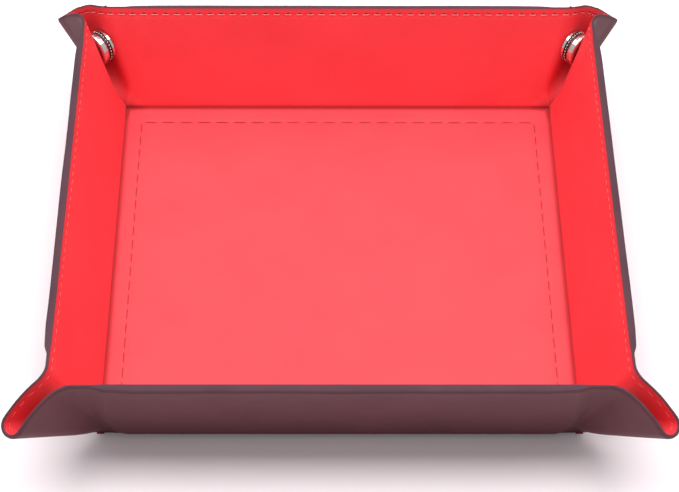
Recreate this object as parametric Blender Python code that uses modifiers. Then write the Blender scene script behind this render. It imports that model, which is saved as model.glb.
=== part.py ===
"""Folding dice tray: a square mat of lined imitation leather whose four walls stand up from the base.

The tray is designed as the flat mat it is cut as, with its lining face up, and is then folded by empties
that lie on the creases. Each wall turns up about its floor crease. At each corner the mat's corner square
is pinched into an ear: the side half turns back about the side wall's end crease, and the end half is
folded over on it about the corner's diagonal, so that a press stud closes between the two halves.
"""

import math

import bmesh
import bpy
from mathutils import Matrix, Vector

# Driving dimensions, in metres and radians.
BASE_SIDE = 0.150            # between opposite floor creases, on the lining's face
WALL_HEIGHT = 0.0375         # from the floor crease up the wall to the mat's edge
WALL_ANGLE = math.radians(70)
MAT_CORNER_RADIUS = 0.024
COVER = 0.0006               # thickness of the outer sheet
BOARD = 0.0008               # thickness of the stiffener boards
LINING = 0.0006              # thickness of the inner sheet
LAYER_GAP = 0.0003           # between glued layers, and where panels meet
EAR_GAP = 0.0054             # between the two lining faces of a closed ear

# Boards stop short of the creases and of the mat's edge.
BOARD_CREASE_INSET = 0.0015
BOARD_EDGE_INSET = 0.0012
BOARD_HALF_LENGTH = 0.073
BOARD_CLIP_HEIGHT = 0.0145
BOARD_CLIP_HALF_LENGTH = 0.0685

# The end walls and the end halves of the ears aren't hinged to each other, so they keep this clearance.
OPEN_CREASE_CLEARANCE = 0.0026
EAR_FOOT = 0.006             # where an ear half starts, from the floor crease

# Stitching.
THREAD_RADIUS = 0.0002
THREAD_RISE = 0.00035        # edge thread's centre above the lining's face
EDGE_STITCH_INSET = 0.0023
EDGE_STITCH_HALF_LENGTH = 0.079
FLOOR_STITCH_SIDE_INSET = 0.0055
FLOOR_STITCH_END_INSET = 0.0075
FLOOR_GROOVE_WIDTH = 0.0012  # the floor's thread lies half sunk in a groove
FLOOR_GROOVE_DEPTH = 0.00035

# Press studs. The centre is given along the ear's crease and square to it, on the lining's face.
SNAP_ALONG_CREASE = 0.0252
SNAP_FROM_CREASE = 0.0053
SNAP_GAP = 0.0002
SOCKET_RADIUS = 0.0062
SOCKET_HEIGHT = 0.0028
SOCKET_ROUNDING = 0.0009
SOCKET_FLOOR = 0.0008
SOCKET_LIP = 0.0008          # thickness of the lip that holds the ring spring in
SOCKET_MOUTH_RADIUS = 0.0024
SOCKET_CAVITY_RADIUS = 0.0032
SPRING_RADIUS = 0.00265
SPRING_WIRE_RADIUS = 0.00025
SPRING_SPLIT = 30            # degrees of the ring left open
STUD_FLANGE_RADIUS = 0.0060
STUD_FLANGE = 0.0008
STUD_DRUM_RADIUS = 0.0054
STUD_HOLE_DEPTH = 0.0013     # the blind hole that takes the rivet
POST_HEIGHT = 0.00145
POST_NECK_RADIUS = 0.0016
POST_HEAD_RADIUS = 0.0019
POST_HEAD = 0.00075
POST_ROUNDING = 0.0004
RIVET_RADIUS = 0.0013
RIVET_HOLE_RADIUS = 0.0016
RIVET_PLATE_RADIUS = 0.0040
RIVET_PLATE = 0.0003
RIVET_HEAD_RADIUS = 0.0020
RIVET_HEAD = 0.0003
RIVET_HEAD_GAP = 0.00015
RIVET_POCKET_RADIUS = 0.0042
RIVET_POCKET_DEPTH = 0.00035

# Fineness.
CORNER_STEPS = 8
CIRCLE_STEPS = 16
TURNED_STEPS = 24
ROUNDING_STEPS = 3
SPRING_STEPS = 15
MERGE_DISTANCE = 0.00001

# Worked out from the driving dimensions.
MAT_THICKNESS = COVER + BOARD + LINING + 2 * LAYER_GAP
EAR_THICKNESS = COVER + LINING + LAYER_GAP
FACE = MAT_THICKNESS                          # height of the lining's face over the underside
HALF = BASE_SIDE / 2
CREASE_LEAN = math.atan(math.cos(WALL_ANGLE))  # an ear's crease against the wall's upright, in the mat
CREASE_SHIFT = EAR_GAP / math.sqrt(2)          # how far the crease starts before the base's corner
FOLD_STRIP = math.pi * EAR_GAP / 4             # half the strip that bends round the ear's lower edge

CORNERS = {
    "front_left": (-1, -1),
    "front_right": (1, -1),
    "back_left": (-1, 1),
    "back_right": (1, 1),
}
WALLS = {
    "left_wall": Vector((-1, 0, 0)),
    "right_wall": Vector((1, 0, 0)),
    "front_wall": Vector((0, -1, 0)),
    "back_wall": Vector((0, 1, 0)),
}
UP = Vector((0, 0, 1))


def crease_turn():
    """The turn of an ear half about its crease, from flat to closed, where both halves stand parallel."""
    along = Vector((math.cos(WALL_ANGLE), math.cos(WALL_ANGLE), math.sin(WALL_ANGLE))).normalized()
    wall_normal = Vector((-math.sin(WALL_ANGLE), 0, math.cos(WALL_ANGLE)))
    ear_normal = Vector((-1, 1, 0)).normalized()
    return -math.atan2(along.dot(wall_normal.cross(ear_normal)), wall_normal.dot(ear_normal))


# Scene set-up.

def clear_scene():
    for item in list(bpy.data.objects):
        bpy.data.objects.remove(item, do_unlink=True)


def new_collection(name):
    collection = bpy.data.collections.new(name)
    bpy.context.scene.collection.children.link(collection)
    return collection


def new_material(name, colour, roughness, metallic=0.0):
    material = bpy.data.materials.new(name)
    material.use_nodes = True
    shader = material.node_tree.nodes["Principled BSDF"]
    shader.inputs["Base Color"].default_value = (*colour, 1.0)
    shader.inputs["Roughness"].default_value = roughness
    shader.inputs["Metallic"].default_value = metallic
    return material


clear_scene()
TRAY = new_collection("folding_dice_tray")
CUTTERS = new_collection("cutters")
OUTER_LEATHER = new_material("outer_leather", (0.065, 0.028, 0.034), 0.5)
LINING_LEATHER = new_material("lining_leather", (0.80, 0.045, 0.055), 0.45)
CARDBOARD = new_material("cardboard", (0.35, 0.30, 0.24), 0.9)
RED_THREAD = new_material("red_thread", (0.60, 0.03, 0.04), 0.7)
NICKEL = new_material("nickel", (0.62, 0.61, 0.59), 0.25, 1.0)


# The folding frame: empties on the creases.

class Fold:
    """An empty on a crease of the mat, and where it stands in the flat mat."""

    def __init__(self, name, parent, point, axis, angle):
        self.point = Vector(point)
        self.empty = bpy.data.objects.new(name, None)
        self.empty.empty_display_size = 0.01
        TRAY.objects.link(self.empty)
        step = self.point
        if parent:
            self.empty.parent = parent.empty
            step = self.point - parent.point
        self.empty.matrix_basis = Matrix.Translation(step) @ Matrix.Rotation(angle, 4, axis)


def attach(obj, fold):
    """Parent an object, whose mesh is laid out in the flat mat, to the crease that folds it."""
    obj.data.transform(Matrix.Translation(-fold.point))
    obj.parent = fold.empty


def corner_point(corner, along_x, along_y, height=FACE):
    """A point of the flat mat, given outwards from the base's corner."""
    sign_x, sign_y = CORNERS[corner]
    return Vector((sign_x * (HALF + along_x), sign_y * (HALF + along_y), height))


def corner_direction(corner, along_x, along_y):
    sign_x, sign_y = CORNERS[corner]
    return Vector((sign_x * along_x, sign_y * along_y, 0)).normalized()


def make_folds():
    folds = {"base": Fold("base_frame", None, (0, 0, 0), UP, 0.0)}
    for name, outward in WALLS.items():
        folds[name] = Fold(name + "_crease", folds["base"], outward * HALF + UP * FACE,
                           outward.cross(UP), WALL_ANGLE)
    for corner, (sign_x, sign_y) in CORNERS.items():
        hand = sign_x * sign_y
        side_wall = folds["left_wall" if sign_x < 0 else "right_wall"]
        side_ear = Fold(corner + "_side_ear_crease", side_wall, corner_point(corner, 0, -CREASE_SHIFT),
                        corner_direction(corner, math.cos(CREASE_LEAN), math.sin(CREASE_LEAN)),
                        -hand * crease_turn())
        folds[corner + "_side_ear"] = side_ear
        folds[corner + "_end_ear"] = Fold(corner + "_diagonal_crease", side_ear,
                                          corner_point(corner, 0, 0, FACE + EAR_GAP / 2),
                                          corner_direction(corner, 1, 1), hand * math.pi)
    return folds


# Flat sheets.

def sheet(name, loops, low, high, fold, material):
    """A flat panel of the mat between two heights. The first loop is its outline and the rest are holes."""
    curve = bpy.data.curves.new(name + "_outline", "CURVE")
    curve.dimensions = "2D"
    curve.fill_mode = "BOTH"
    curve.extrude = (high - low) / 2
    for loop in loops:
        spline = curve.splines.new("POLY")
        spline.points.add(len(loop) - 1)
        for point, (x, y) in zip(spline.points, loop):
            point.co = (x, y, 0, 1)
        spline.use_cyclic_u = True
    outline = bpy.data.objects.new(name + "_outline", curve)
    TRAY.objects.link(outline)
    bpy.context.view_layer.update()
    evaluated = outline.evaluated_get(bpy.context.evaluated_depsgraph_get())
    mesh = bpy.data.meshes.new_from_object(evaluated)
    bpy.data.objects.remove(outline, do_unlink=True)
    mesh.name = name
    mesh.transform(Matrix.Translation((0, 0, (low + high) / 2)))
    weld(mesh)
    mesh.materials.clear()
    mesh.materials.append(material)
    panel = bpy.data.objects.new(name, mesh)
    TRAY.objects.link(panel)
    attach(panel, fold)
    return panel


def weld(mesh):
    work = bmesh.new()
    work.from_mesh(mesh)
    bmesh.ops.remove_doubles(work, verts=work.verts, dist=MERGE_DISTANCE)
    bmesh.ops.recalc_face_normals(work, faces=work.faces)
    work.to_mesh(mesh)
    work.free()


def arc(centre, radius, start, end, steps):
    """Points on an arc, ends included, with angles in degrees."""
    points = []
    for step in range(steps + 1):
        angle = math.radians(start + (end - start) * step / steps)
        points.append((centre[0] + radius * math.cos(angle), centre[1] + radius * math.sin(angle)))
    return points


def circle(centre, radius):
    return arc(centre, radius, 0, 360, CIRCLE_STEPS)[:-1]


def rectangle(half_x, half_y):
    return [(-half_x, -half_y), (half_x, -half_y), (half_x, half_y), (-half_x, half_y)]


def crease_length_at(height, inset):
    """How far a wall's end crease is past the base's corner at a height up the wall, less an inset."""
    return height * math.tan(CREASE_LEAN) - CREASE_SHIFT - inset / math.cos(CREASE_LEAN)


def wall_outline(name, low, high, low_half, high_half):
    """A panel that is symmetric about the wall's middle: its half lengths at its low and high edge."""
    outward = WALLS[name]
    along = outward.cross(UP)
    corners = [(low, -low_half), (low, low_half), (high, high_half), (high, -high_half)]
    return [tuple((outward * (HALF + height) + along * length).xy) for height, length in corners]


def wall_panel_outline(name, inset):
    low = LAYER_GAP / 2
    return wall_outline(name, low, WALL_HEIGHT, HALF + crease_length_at(low, inset),
                        HALF + crease_length_at(WALL_HEIGHT, inset))


def wall_board_outline(name):
    outward = WALLS[name]
    along = outward.cross(UP)
    half_outline = [
        (BOARD_CREASE_INSET, BOARD_CLIP_HALF_LENGTH),
        (BOARD_CLIP_HEIGHT, BOARD_HALF_LENGTH),
        (WALL_HEIGHT - BOARD_EDGE_INSET, BOARD_HALF_LENGTH),
    ]
    whole = half_outline + [(height, -length) for height, length in reversed(half_outline)]
    return [tuple((outward * (HALF + height) + along * length).xy) for height, length in whole]


def ear_outline(corner, inset, end_half):
    """An ear half, from its crease round the mat's corner to just short of the corner's diagonal."""
    fold_edge = (FOLD_STRIP - EAR_GAP / 2) * math.sqrt(2)
    centre = WALL_HEIGHT - MAT_CORNER_RADIUS
    stop = math.degrees(math.acos(fold_edge / MAT_CORNER_RADIUS / math.sqrt(2))) - 45
    points = [
        (EAR_FOOT, crease_length_at(EAR_FOOT, -inset)),
        (WALL_HEIGHT, crease_length_at(WALL_HEIGHT, -inset)),
    ]
    points += arc((centre, centre), MAT_CORNER_RADIUS, 0, stop, CORNER_STEPS)
    points.append((EAR_FOOT, EAR_FOOT - fold_edge))
    if end_half:
        points = [(y, x) for x, y in points]
    return [tuple(corner_point(corner, x, y).xy) for x, y in points]


# Turned and bent pieces.

def turned(name, profile, fold, centre, material, steps=TURNED_STEPS, closed=False):
    """A profile of radius and height over the lining's face, turned about an axis square to the mat."""
    mesh = bpy.data.meshes.new(name)
    work = bmesh.new()
    points = [work.verts.new((radius, 0, height)) for radius, height in profile]
    for first, second in zip(points, points[1:]):
        work.edges.new((first, second))
    if closed:
        work.edges.new((points[-1], points[0]))
    work.to_mesh(mesh)
    work.free()
    mesh.materials.append(material)
    piece = bpy.data.objects.new(name, mesh)
    TRAY.objects.link(piece)
    piece.parent = fold.empty
    piece.location = centre - fold.point
    screw = piece.modifiers.new("turn", "SCREW")
    screw.axis = "Z"
    screw.steps = steps
    screw.render_steps = steps
    screw.use_merge_vertices = True
    screw.merge_threshold = MERGE_DISTANCE
    screw.use_smooth_shade = True
    return piece


def wire(name, points, radius, fold, material, closed=False, bevel_resolution=1):
    """A round thread or wire through points of the flat mat."""
    curve = bpy.data.curves.new(name, "CURVE")
    curve.dimensions = "3D"
    curve.bevel_depth = radius
    curve.bevel_resolution = bevel_resolution
    curve.use_fill_caps = True
    spline = curve.splines.new("POLY")
    spline.points.add(len(points) - 1)
    for point, place in zip(spline.points, points):
        point.co = (*(Vector(place) - fold.point), 1)
    spline.use_cyclic_u = closed
    curve.materials.append(material)
    piece = bpy.data.objects.new(name, curve)
    TRAY.objects.link(piece)
    piece.parent = fold.empty
    return piece


# The pieces.

def make_base(fold):
    edge = HALF - LAYER_GAP / 2
    board_edge = HALF - BOARD_CREASE_INSET
    sheet("base_cover", [rectangle(edge, edge)], 0, COVER, fold, OUTER_LEATHER)
    board_low = COVER + LAYER_GAP
    sheet("base_board", [rectangle(board_edge, board_edge)], board_low, board_low + BOARD, fold, CARDBOARD)
    lining = sheet("base_lining", [rectangle(edge, edge)], FACE - LINING, FACE, fold, LINING_LEATHER)
    half_x = HALF - FLOOR_STITCH_SIDE_INSET
    half_y = HALF - FLOOR_STITCH_END_INSET
    cut_groove(lining, half_x, half_y, fold)
    loop = [(x, y, FACE) for x, y in rectangle(half_x, half_y)]
    wire("base_stitching", loop, THREAD_RADIUS, fold, RED_THREAD, closed=True)


def cut_groove(panel, half_x, half_y, fold):
    """A rectangular groove in a panel's upper face, for a thread."""
    side = FLOOR_GROOVE_WIDTH / 2
    loops = [rectangle(half_x + side, half_y + side), rectangle(half_x - side, half_y - side)]
    floor = FACE - FLOOR_GROOVE_DEPTH
    cutter = sheet(panel.name + "_groove_cutter", loops, floor, FACE + LINING, fold, RED_THREAD)
    subtract(panel, cutter)


def subtract(panel, cutter):
    for collection in list(cutter.users_collection):
        collection.objects.unlink(cutter)
    CUTTERS.objects.link(cutter)
    cutter.hide_render = True
    cutter.display_type = "WIRE"
    cut = panel.modifiers.new("cut", "BOOLEAN")
    cut.operation = "DIFFERENCE"
    cut.object = cutter


def make_wall(name, fold):
    """A wall's cover, board and lining. The deeper a layer, the more it clears the ear folded behind it."""
    hinged_ear = name in ("left_wall", "right_wall")
    mitre = math.tan(crease_turn() / 2)
    cover_inset = MAT_THICKNESS * mitre + LAYER_GAP / 2
    lining_inset = LINING * mitre + LAYER_GAP / 2
    if not hinged_ear:
        cover_inset = OPEN_CREASE_CLEARANCE
        lining_inset = OPEN_CREASE_CLEARANCE
    sheet(name + "_cover", [wall_panel_outline(name, cover_inset)], 0, COVER, fold, OUTER_LEATHER)
    board_low = COVER + LAYER_GAP
    sheet(name + "_board", [wall_board_outline(name)], board_low, board_low + BOARD, fold, CARDBOARD)
    sheet(name + "_lining", [wall_panel_outline(name, lining_inset)], FACE - LINING, FACE, fold,
          LINING_LEATHER)
    outward = WALLS[name]
    along = outward.cross(UP) * EDGE_STITCH_HALF_LENGTH
    middle = outward * (HALF + WALL_HEIGHT - EDGE_STITCH_INSET) + UP * (FACE + THREAD_RISE)
    wire(name + "_stitching", [middle - along, middle + along], THREAD_RADIUS, fold, RED_THREAD)


def snap_centre(corner, end_half):
    """The press stud's axis on an ear half, on the lining's face of the flat mat."""
    lean_cos = math.cos(CREASE_LEAN)
    lean_sin = math.sin(CREASE_LEAN)
    x = SNAP_ALONG_CREASE * lean_cos - SNAP_FROM_CREASE * lean_sin
    y = SNAP_ALONG_CREASE * lean_sin + SNAP_FROM_CREASE * lean_cos - CREASE_SHIFT
    if end_half:
        x, y = y, x
    return corner_point(corner, x, y)


def make_ear_half(name, corner, fold, end_half):
    """The two sheets of an ear half. The cover is thinned over the rivet's plate, so no metal shows."""
    mitre = math.tan(crease_turn() / 2)
    centre = snap_centre(corner, end_half)
    cover_low = FACE - EAR_THICKNESS
    cover_outline = ear_outline(corner, EAR_THICKNESS * mitre + LAYER_GAP / 2, end_half)
    cover = sheet(name + "_cover", [cover_outline], cover_low, cover_low + COVER, fold, OUTER_LEATHER)
    lining_outline = ear_outline(corner, LINING * mitre + LAYER_GAP / 2, end_half)
    hole = circle(centre.xy, RIVET_HOLE_RADIUS)
    sheet(name + "_lining", [lining_outline, hole], FACE - LINING, FACE, fold, LINING_LEATHER)
    pocket_floor = cover_low + COVER - RIVET_POCKET_DEPTH
    cut_pocket(cover, centre, pocket_floor, fold)


def cut_pocket(panel, centre, floor, fold):
    bpy.ops.mesh.primitive_cylinder_add(vertices=CIRCLE_STEPS, radius=RIVET_POCKET_RADIUS, depth=COVER)
    cutter = bpy.context.active_object
    cutter.name = panel.name + "_pocket_cutter"
    cutter.parent = fold.empty
    cutter.location = Vector((centre.x, centre.y, floor + COVER / 2)) - fold.point
    subtract(panel, cutter)


def make_rivet(name, fold, centre, post_height, head):
    """A plate between the ear's sheets, with a post through the lining. A head holds a socket down."""
    plate_high = -LINING - SNAP_GAP
    plate_low = plate_high - RIVET_PLATE
    profile = [(RIVET_RADIUS, plate_high), (RIVET_PLATE_RADIUS, plate_high),
               (RIVET_PLATE_RADIUS, plate_low), (0, plate_low)]
    if head:
        head_low = post_height - RIVET_HEAD
        top = [(0, post_height), (RIVET_HEAD_RADIUS, post_height), (RIVET_HEAD_RADIUS, head_low),
               (RIVET_RADIUS, head_low)]
    else:
        top = [(0, post_height), (RIVET_RADIUS, post_height)]
    turned(name, top + profile, fold, centre, NICKEL, steps=CIRCLE_STEPS)


def rounded_edge(radius, height, rounding, start, end):
    """The rounded corner of a turned profile, given by the sharp corner's radius and height."""
    above = -1 if max(start, end) == 90 else 1
    centre = (radius - rounding, height + above * rounding)
    return arc(centre, rounding, start, end, ROUNDING_STEPS)


def make_socket(corner, fold):
    """The half of the press stud with the hollow: a rounded ring, its rivet and its split ring spring."""
    centre = snap_centre(corner, False)
    floor = SNAP_GAP + SOCKET_FLOOR
    top = SNAP_GAP + SOCKET_HEIGHT
    lip = top - SOCKET_LIP
    profile = [(SOCKET_MOUTH_RADIUS, top)]
    profile += rounded_edge(SOCKET_RADIUS, top, SOCKET_ROUNDING, 90, 0)
    profile += rounded_edge(SOCKET_RADIUS, SNAP_GAP, SOCKET_ROUNDING, 0, -90)
    profile += [
        (RIVET_HOLE_RADIUS, SNAP_GAP), (RIVET_HOLE_RADIUS, floor), (SOCKET_CAVITY_RADIUS, floor),
        (SOCKET_CAVITY_RADIUS, lip), (SOCKET_MOUTH_RADIUS, lip),
    ]
    turned(corner + "_socket", profile, fold, centre, NICKEL, closed=True)
    make_rivet(corner + "_socket_rivet", fold, centre, floor + RIVET_HEAD_GAP + RIVET_HEAD, head=True)
    height = lip - SNAP_GAP / 2 - SPRING_WIRE_RADIUS
    flat_ring = arc((0, 0), SPRING_RADIUS, SPRING_SPLIT / 2, 360 - SPRING_SPLIT / 2, SPRING_STEPS)
    ring = [centre + Vector((x, y, height)) for x, y in flat_ring]
    wire(corner + "_socket_spring", ring, SPRING_WIRE_RADIUS, fold, NICKEL)


def make_stud(corner, fold):
    """The half with the post: a thin flange, a drum that is milled round its edge, and the post."""
    centre = snap_centre(corner, True)
    flange_top = SNAP_GAP + STUD_FLANGE
    drum_top = EAR_GAP - SNAP_GAP - SOCKET_HEIGHT - SNAP_GAP
    tip = drum_top + POST_HEIGHT
    head_low = tip - POST_HEAD
    blind = SNAP_GAP + STUD_HOLE_DEPTH
    profile = [(0, tip)]
    profile += rounded_edge(POST_HEAD_RADIUS, tip, POST_ROUNDING, 90, 0)
    profile += [
        (POST_HEAD_RADIUS, head_low), (POST_NECK_RADIUS, head_low - POST_ROUNDING),
        (POST_NECK_RADIUS, drum_top), (STUD_DRUM_RADIUS, drum_top), (STUD_DRUM_RADIUS, flange_top),
        (STUD_FLANGE_RADIUS, flange_top), (STUD_FLANGE_RADIUS, SNAP_GAP), (RIVET_HOLE_RADIUS, SNAP_GAP),
        (RIVET_HOLE_RADIUS, blind), (0, blind),
    ]
    turned(corner + "_stud", profile, fold, centre, NICKEL)
    make_rivet(corner + "_stud_rivet", fold, centre, blind - SNAP_GAP, head=False)


def make_tray():
    folds = make_folds()
    make_base(folds["base"])
    for name in WALLS:
        make_wall(name, folds[name])
    for corner in CORNERS:
        side_ear = corner + "_side_ear"
        end_ear = corner + "_end_ear"
        make_ear_half(side_ear, corner, folds[side_ear], end_half=False)
        make_ear_half(end_ear, corner, folds[end_ear], end_half=True)
        make_socket(corner, folds[side_ear])
        make_stud(corner, folds[end_ear])
    return folds


FOLDS = make_tray()
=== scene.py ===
"""Looks of the folding dice tray: the lined mat as continuous skins over its boards, with stitching,
painted edges and press studs. Every skin is laid out in the flat mat and folded by the same formulas."""

import math

import bpy
import numpy as np
from mathutils import Matrix, Vector


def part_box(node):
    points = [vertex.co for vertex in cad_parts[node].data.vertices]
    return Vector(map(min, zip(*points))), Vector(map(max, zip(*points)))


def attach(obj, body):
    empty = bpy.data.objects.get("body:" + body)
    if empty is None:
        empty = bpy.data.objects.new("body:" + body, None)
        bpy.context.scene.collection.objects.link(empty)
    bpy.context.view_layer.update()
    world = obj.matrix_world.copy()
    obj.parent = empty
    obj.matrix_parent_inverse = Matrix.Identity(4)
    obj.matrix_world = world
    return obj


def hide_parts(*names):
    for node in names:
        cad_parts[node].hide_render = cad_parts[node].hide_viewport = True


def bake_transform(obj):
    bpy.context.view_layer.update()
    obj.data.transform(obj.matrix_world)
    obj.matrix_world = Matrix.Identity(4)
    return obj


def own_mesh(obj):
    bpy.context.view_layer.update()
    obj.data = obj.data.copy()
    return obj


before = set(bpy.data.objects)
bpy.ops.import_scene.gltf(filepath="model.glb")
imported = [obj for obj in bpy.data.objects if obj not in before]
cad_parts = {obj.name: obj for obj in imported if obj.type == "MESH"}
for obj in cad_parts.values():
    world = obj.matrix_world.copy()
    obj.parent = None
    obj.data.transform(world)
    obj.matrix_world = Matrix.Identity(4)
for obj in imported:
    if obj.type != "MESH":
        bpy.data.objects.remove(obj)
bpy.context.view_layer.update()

# Driving dimensions of the tray, in metres.
HALF = 0.075                     # half of the base's side
WALL_HEIGHT = 0.0375             # along the slope
WALL_ANGLE = math.radians(70)
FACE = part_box("base_lining")[1].z
EAR_GAP = 0.0054                 # between the lining faces of an ear's two halves
MAT_CORNER_RADIUS = 0.024
SHEETS = 0.0015                  # lining and cover together
BOARD_EXTRA = 0.0011
BACK_DROOP = 0.0040              # how far the back ears sag
TAPER = 0.012                    # an ear's halves spread to their full gap over this height
FLOOR_ROUND = 0.0006
FLOOR_STRIP = 0.004              # a wall's skin reaches this far in over the floor crease
BEND_FOOT = 0.0015               # the strips that bend round into the ears start this far up
STITCH_INSET = 0.0023
EDGE_PITCH = 0.0039
FLOOR_PITCH = 0.0064
FLOOR_STITCH_SIDE = 0.0055       # the floor thread's distance from the side creases
FLOOR_STITCH_END = 0.0075        # and from the front and back creases
THREAD_RADIUS = 0.00024

ROOT2 = math.sqrt(2)
LEAN = math.atan(math.cos(WALL_ANGLE))
SHIFT = EAR_GAP / ROOT2
STRIP = math.pi * EAR_GAP / 4
CORNER_CENTRE = WALL_HEIGHT - MAT_CORNER_RADIUS
COS_W, SIN_W = math.cos(WALL_ANGLE), math.sin(WALL_ANGLE)
COS_L, SIN_L = math.cos(LEAN), math.sin(LEAN)
RISE = Vector((ROOT2 * COS_W, SIN_W)).normalized()   # the ear's crease in the corner's upright plane
ACROSS = Vector((RISE.y, -RISE.x))

UP = Vector((0, 0, 1))
WALLS = {"left_wall": Vector((-1, 0, 0)), "right_wall": Vector((1, 0, 0)),
         "front_wall": Vector((0, -1, 0)), "back_wall": Vector((0, 1, 0))}
CORNERS = {"front_left": (-1, -1), "front_right": (1, -1), "back_left": (-1, 1), "back_right": (1, 1)}


def smooth(x):
    """An eased step from 0 to 1."""
    x = np.clip(x, 0, 1)
    return x * x * (3 - 2 * x)


def dent(distance, width):
    """1 at no distance, fading to 0 over about twice the width."""
    return np.exp(-(distance / width) ** 2)


def unit(vectors):
    return vectors / np.maximum(np.linalg.norm(vectors, axis=-1, keepdims=True), 1e-12)


def sheet_kind(outside):
    return "cover" if outside else "lining"


def hand_word(sign):
    return "right" if sign > 0 else "left"


# The folded lining face near a corner. a is the distance up the wall from the floor crease, and b the
# distance past the base's corner along it. Points come out as (outward, along, up) from the corner.

def closing(a):
    """How far an ear's two halves have spread, from 0 at the base's corner to 1."""
    return 1 - np.clip(1 - a / TAPER, 0, 1) ** 2


def crease(a):
    """Where the wall turns into the ear, as b for each a."""
    return a * math.tan(LEAN) - SHIFT * closing(a)


def wall_shape(a, b):
    """The floor and the wall, with a small round at the floor crease that narrows to the base's corner."""
    turn = FLOOR_ROUND * np.clip(-b / 0.006, 0.1, 1)
    t = np.clip((a + turn) / (2 * turn), 0, 1)
    out = np.where(a < 0, a, a * COS_W)
    up = np.where(a < 0, 0, a * SIN_W)
    inside = np.abs(a) < turn
    out = np.where(inside, turn * (t ** 2 * COS_W - (1 - t) ** 2), out)
    up = np.where(inside, turn * t ** 2 * SIN_W, up)
    return np.stack([out, b, up], -1)


def ear_plane(a, b):
    """In the corner's upright plane: (outward, up) of a flat point on the side half of the ear."""
    along = a * COS_L + (b + SHIFT) * SIN_L
    side = -a * SIN_L + (b + SHIFT) * COS_L
    return np.stack([along * RISE.x + side * ACROSS.x - EAR_GAP / 2, along * RISE.y + side * ACROSS.y], -1)


EAR_START = ear_plane(np.zeros(1), np.zeros(1))[0]
FROM_FOLD = (ear_plane(np.ones(1), -np.ones(1))[0] - EAR_START) / ROOT2   # square to the diagonal fold
ALONG_FOLD = (ear_plane(np.ones(1), np.ones(1))[0] - EAR_START) / ROOT2   # along it


def sag(a, b, droop):
    """Downward sag in the corner's plane. It only slides along the diagonal fold where it is close to it."""
    sunk = (droop * smooth(crease_frame(a, b)[1] / 0.013))[..., None]
    free = smooth(((a - b) / ROOT2 - STRIP) / 0.010)[..., None]
    return -sunk * (ALONG_FOLD * (1 - free + free * ALONG_FOLD[1]) + FROM_FOLD * free * FROM_FOLD[1])


def ear_place(a, b, droop):
    """The ear half in the corner's upright plane, with its lower edge gathered in by the fold's bend."""
    spread = closing(a)
    from_fold = (a - b) / ROOT2
    beta = np.clip((STRIP - from_fold) / (EAR_GAP / 2), 0, math.pi)
    lift = np.where(beta > 0, STRIP - EAR_GAP / 2 * np.sin(beta) - from_fold, 0) * spread
    place = ear_plane(a, b) + lift[..., None] * FROM_FOLD - (1 - spread)[..., None] * EAR_START
    return place + sag(a, b, droop), beta, spread


def ear_shape(a, b, droop):
    """The ear half in space, bent round into the other half at its lower edge."""
    place, beta, spread = ear_place(a, b, droop)
    lateral = EAR_GAP / 2 * np.cos(beta) * spread
    return np.stack([(place[..., 0] + lateral) / ROOT2, (place[..., 0] - lateral) / ROOT2, place[..., 1]], -1)


def crease_frame(a, b):
    """The foot on the crease of a flat point, as its a, and the distance from the crease into the ear."""
    foot = a
    for _ in range(8):
        side = (b - crease(foot)) / COS_L
        foot = a + side * SIN_L
    return foot, side


def rounding(foot):
    """Half the width of the strip that bends round the crease between wall and ear."""
    height = np.clip(foot / WALL_HEIGHT, 0, 1.2)
    return (0.0015 + 0.0027 * height ** 1.5) * np.clip(foot / 0.005, 0.02, 1)


def shape(a, b, droop):
    """The whole lining face: floor, wall, the rounded crease and the ear."""
    foot, side = crease_frame(a, b)
    turn = rounding(foot)
    t = np.clip((side + turn) / (2 * turn), 0, 1)[..., None]
    first = wall_shape(foot + turn * SIN_L, crease(foot) - turn * COS_L)
    middle = wall_shape(foot, crease(foot))
    last = ear_shape(foot - turn * SIN_L, crease(foot) + turn * COS_L, droop)
    bent = (1 - t) ** 2 * first + 2 * t * (1 - t) * middle + t ** 2 * last
    side = side[..., None]
    turn = turn[..., None]
    use_bend = (np.abs(side) < turn) & (a[..., None] > 0)
    flat_part = np.where((side < 0) | (a[..., None] <= 0), wall_shape(a, b), ear_shape(a, b, droop))
    return np.where(use_bend, bent, flat_part)


def normal(surface, a, b):
    """Square to a surface, from small steps over it."""
    step = 0.00008
    da = surface(a + step, b) - surface(a - step, b)
    db = surface(a, b + step) - surface(a, b - step)
    return unit(np.cross(da, db))


# Relief of the sheets.

LINING_WAVE, COVER_WAVE = 0.00018, 0.00012              # slow unevenness
LINING_EDGE_ROLL, COVER_EDGE_ROLL = 0.00016, 0.00025    # pressed in at the painted edge
BOARD_STEP = 0.00022                                    # the lining sinks this far where no board backs it
STITCH_PULL = 0.00014
CREASE_PRESS = 0.00030
EAR_THINNER, TOP_THICKER = 0.0002, 0.00045


def edge_distance(a, b):
    """Distance inwards from the mat's edge."""
    straight = WALL_HEIGHT - np.maximum(a, b)
    round_part = MAT_CORNER_RADIUS - np.hypot(a - CORNER_CENTRE, b - CORNER_CENTRE)
    return np.where((a > CORNER_CENTRE) & (b > CORNER_CENTRE), round_part, straight)


def board(a, b):
    """1 where a board lies between the sheets and 0 where none does, with soft ends."""
    limit = np.interp(a, [0.0015, 0.0145], [-0.0036, 0.0009])
    wall = smooth((a + 0.0003) / 0.0022) * smooth((limit - b) / 0.0052)
    floor = smooth((-a - 0.0006) / 0.0012)
    return np.where(a < 0, floor, wall)


def mat_waves(x, y):
    """A slow, slight unevenness of the mat, from its flat coordinates."""
    return (np.sin(x * 91 + 1.3 * np.sin(y * 63)) * np.sin(y * 77 + 0.7) * 0.6
            + np.sin(x * 173 + y * 121 + 2.1) * 0.25 + np.sin(y * 211 - x * 67 + 0.4) * 0.2)


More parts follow.
